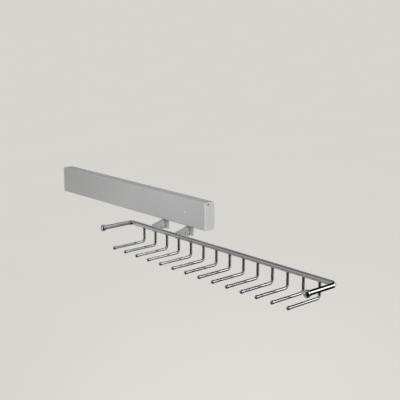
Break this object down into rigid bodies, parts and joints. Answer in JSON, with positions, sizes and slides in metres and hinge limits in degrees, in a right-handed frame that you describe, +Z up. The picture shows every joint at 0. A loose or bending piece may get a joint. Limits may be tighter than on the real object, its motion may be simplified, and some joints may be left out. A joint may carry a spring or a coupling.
{
  "type": "pull-out tie rack",
  "caption": "Side-mounted pull-out tie rack: a chrome U-frame with a row of L-shaped hooks slides on balls out from under a long grey cover.",
  "frame": {"origin": "middle of the wall channel's back face, on the wardrobe panel, at half the cover's length and height", "axes": "+X is the way the rack pulls out, +Y points into the panel, +Z is up"},
  "size_m": [0.7515, 0.1165, 0.0929],
  "materials": {
    "grey_paint": "satin light grey powder coat",
    "grey_plastic": "satin light grey moulding",
    "zinc_steel": "zinc plated",
    "black_rubber": "matt black",
    "natural_nylon": "natural white nylon",
    "brass_sheet": "rolled sheet",
    "ball_steel": "polished bearing steel",
    "chrome": "bright chrome plate"
  },
  "bodies": {
    "wall_side": {"wall_channel": "zinc_steel", "cover": "grey_paint", "cover_plug": "grey_plastic", "front_end_cap": "grey_plastic", "rear_end_cap": "grey_plastic", "front_stop_buffer": "black_rubber", "rear_stop_buffer": "black_rubber", "cover_clip_1": "natural_nylon", "cover_clip_2": "natural_nylon", "cover_clip_3": "natural_nylon"},
    "ball_cages": {"upper_ball_cage": "brass_sheet", "lower_ball_cage": "brass_sheet", "upper_ball_1": "ball_steel", "upper_ball_2": "ball_steel", "upper_ball_3": "ball_steel", "upper_ball_4": "ball_steel", "upper_ball_5": "ball_steel", "lower_ball_1": "ball_steel", "lower_ball_2": "ball_steel", "lower_ball_3": "ball_steel", "lower_ball_4": "ball_steel", "lower_ball_5": "ball_steel"},
    "rack": {"slide_member": "zinc_steel", "front_hanger": "zinc_steel", "rear_hanger": "zinc_steel", "front_hanger_upper_screw": "zinc_steel", "front_hanger_lower_screw": "zinc_steel", "rear_hanger_upper_screw": "zinc_steel", "rear_hanger_lower_screw": "zinc_steel", "front_lug": "chrome", "rear_lug": "chrome", "front_lug_screw": "zinc_steel", "rear_lug_screw": "zinc_steel", "front_lug_nut": "zinc_steel", "rear_lug_nut": "zinc_steel", "frame_tube": "chrome", "front_knob": "chrome", "rear_knob": "chrome", "hook_01": "chrome", "hook_02": "chrome", "hook_03": "chrome", "hook_04": "chrome", "hook_05": "chrome", "hook_06": "chrome", "hook_07": "chrome", "hook_08": "chrome", "hook_09": "chrome", "hook_10": "chrome", "hook_11": "chrome", "hook_12": "chrome", "hook_13": "chrome", "hook_14": "chrome"}
  },
  "joints": [
    {"name": "rack_slide", "type": "slide", "parent": "wall_side", "child": "rack", "axis": [1, 0, 0], "range_m": [-0.25, 0]},
    {"name": "cage_travel", "type": "slide", "parent": "wall_side", "child": "ball_cages", "axis": [1, 0, 0], "range_m": [-0.125, 0]}
  ],
  "couplings": [
    {"joint": "cage_travel", "follows": "rack_slide", "ratio": 0.5}
  ]
}
